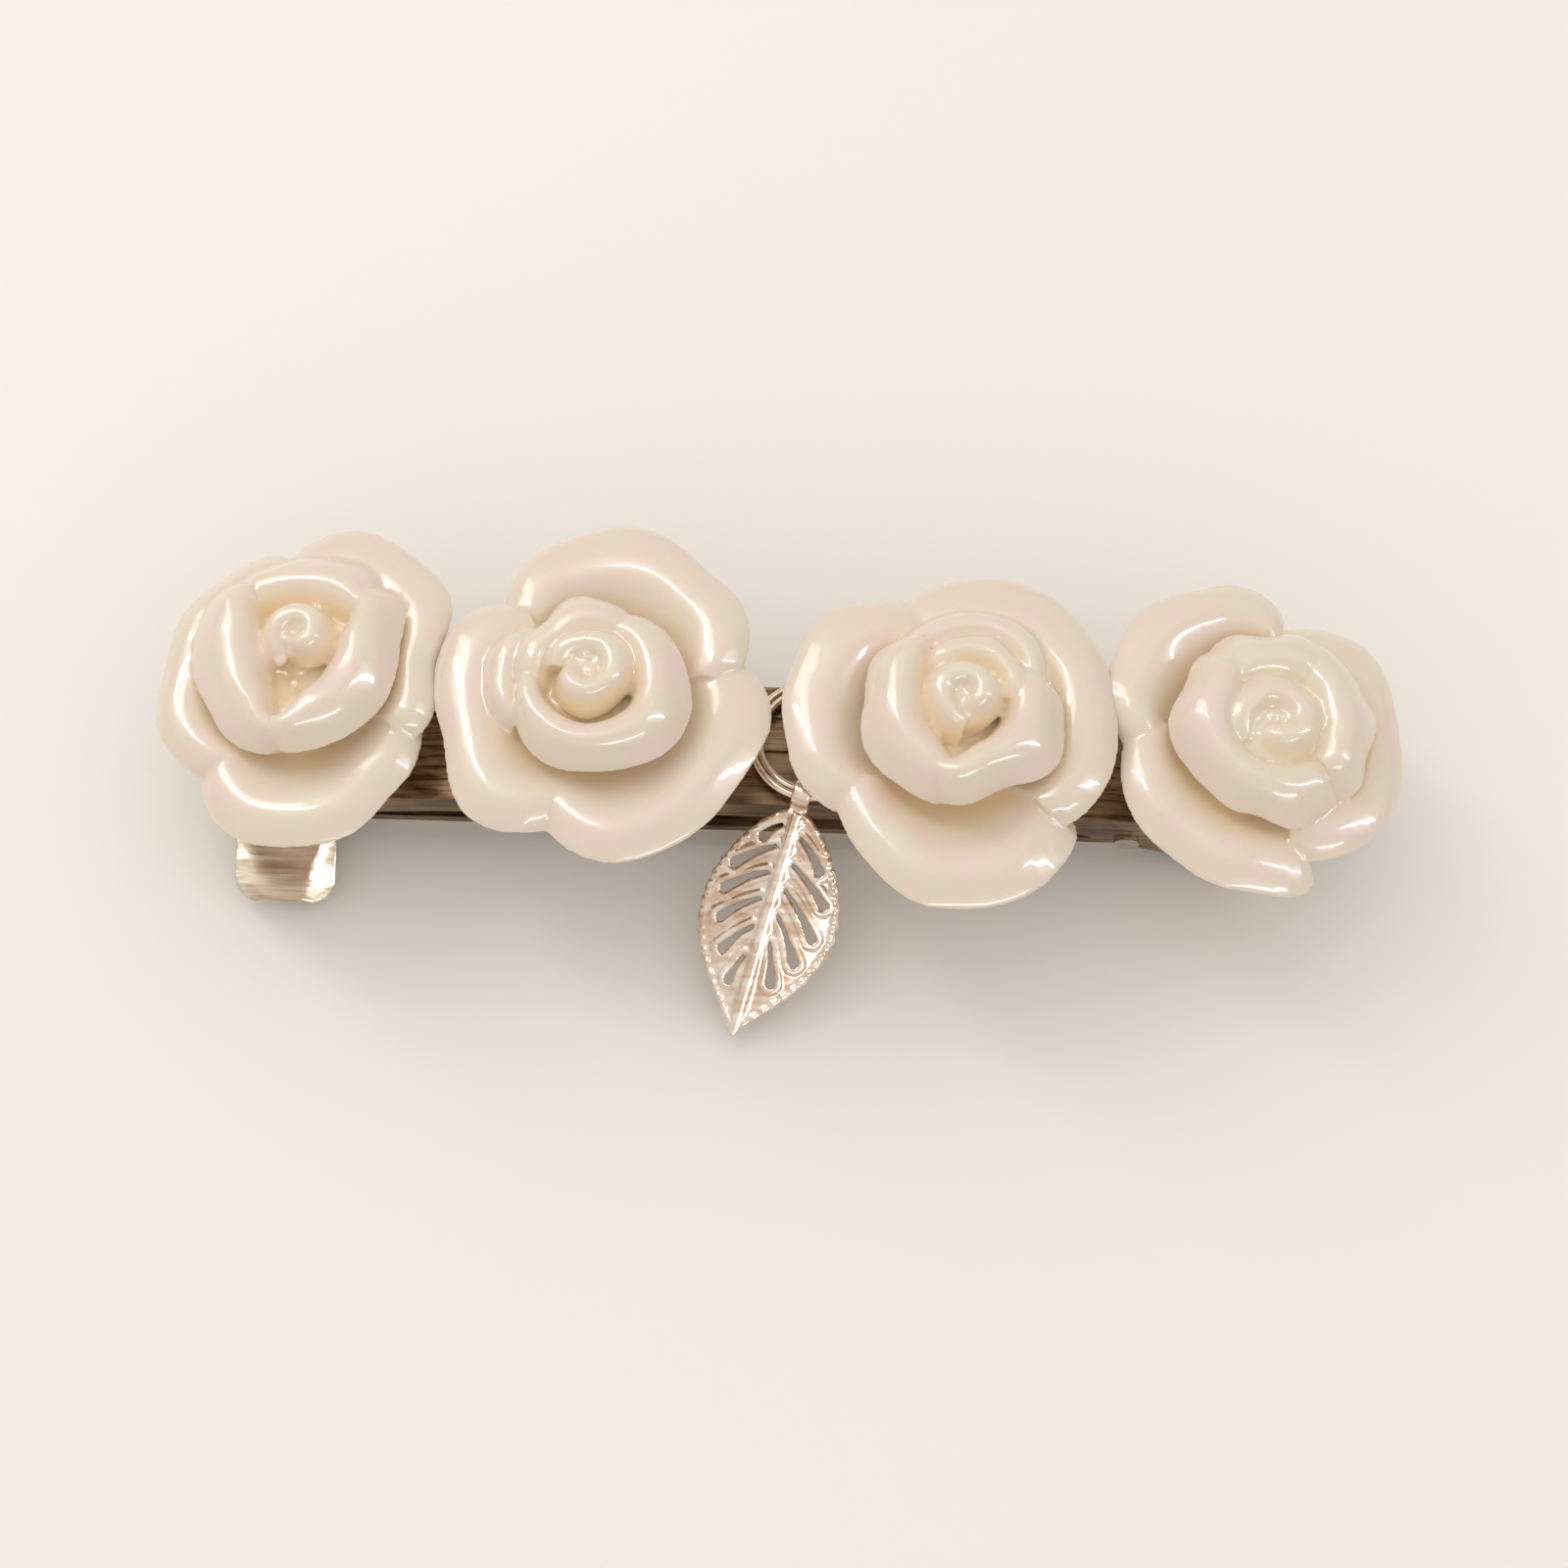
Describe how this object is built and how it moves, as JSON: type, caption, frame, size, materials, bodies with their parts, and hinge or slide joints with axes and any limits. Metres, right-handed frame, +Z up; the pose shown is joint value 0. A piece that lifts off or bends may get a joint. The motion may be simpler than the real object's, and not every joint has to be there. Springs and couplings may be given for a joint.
{
  "type": "flower hair clip",
  "caption": "Metal hair barrette with a row of glazed ceramic roses, a hinged arm, a sprung clasp and a hanging leaf charm on a ring.",
  "frame": {"origin": "centre of the swinging arm's underside, where the closed clip lies on a table", "axes": "+X along the bar towards the hinge, -Y towards the leaf charm, +Z up through the roses"},
  "size_m": [0.0901, 0.0337, 0.021],
  "materials": {
    "plated_steel_dark": "bright plated, warm dark",
    "plated_steel_light": "bright nickel plated",
    "pin_steel": "plain bright",
    "clear_glue": "set clear glue",
    "glazed_rose": "pearl glaze over ivory",
    "charm_gold": "warm silver to rose gold plating"
  },
  "bodies": {
    "clip": {"face_bar": "plated_steel_dark", "hinge_pin": "pin_steel", "bow_pin": "pin_steel", "clasp_plate": "plated_steel_light", "clasp_rivet": "pin_steel", "glue_pad_1": "clear_glue", "glue_pad_2": "clear_glue", "glue_pad_3": "clear_glue", "glue_pad_4": "clear_glue", "rose_1_core": "glazed_rose", "rose_1_inner_petals": "glazed_rose", "rose_1_outer_petals": "glazed_rose", "rose_2_core": "glazed_rose", "rose_2_inner_petals": "glazed_rose", "rose_2_outer_petals": "glazed_rose", "rose_3_core": "glazed_rose", "rose_3_inner_petals": "glazed_rose", "rose_3_outer_petals": "glazed_rose", "rose_4_core": "glazed_rose", "rose_4_inner_petals": "glazed_rose", "rose_4_outer_petals": "glazed_rose"},
    "arm": {"swing_arm": "plated_steel_dark"},
    "bow": {"tension_bow": "plated_steel_dark"},
    "front_finger": {"front_ear": "plated_steel_light"},
    "rear_finger": {"rear_ear": "plated_steel_light"},
    "ring": {"charm_ring": "charm_gold"},
    "leaf": {"leaf_charm": "charm_gold"}
  },
  "joints": [
    {"name": "arm_hinge", "type": "hinge", "parent": "clip", "child": "arm", "pos_m": [0.0352, 0, 0.0016], "axis": [0, -1, 0], "range_deg": [0, 75]},
    {"name": "bow_flex", "type": "hinge", "parent": "clip", "child": "bow", "pos_m": [0.0257, 0, 0.0052], "axis": [0, 1, 0], "range_deg": [0, 2], "stiffness_Nm_per_rad": 0.5},
    {"name": "front_finger_flex", "type": "hinge", "parent": "clip", "child": "front_finger", "pos_m": [-0.036, -0.00135, 0.006], "axis": [1, 0, 0], "range_deg": [0, 7], "stiffness_Nm_per_rad": 0.1},
    {"name": "rear_finger_flex", "type": "hinge", "parent": "clip", "child": "rear_finger", "pos_m": [-0.036, 0.00135, 0.006], "axis": [-1, 0, 0], "range_deg": [0, 7], "stiffness_Nm_per_rad": 0.1},
    {"name": "ring_turn", "type": "hinge", "parent": "clip", "child": "ring", "pos_m": [0.0026, 0, 0.0112], "axis": [0, 0, 1], "range_deg": [-6, 24]},
    {"name": "leaf_swing", "type": "hinge", "parent": "ring", "child": "leaf", "pos_m": [0.00201, -0.00416, 0.0112], "axis": [0.9563, -0.2924, 0], "range_deg": [-30, 10]}
  ]
}
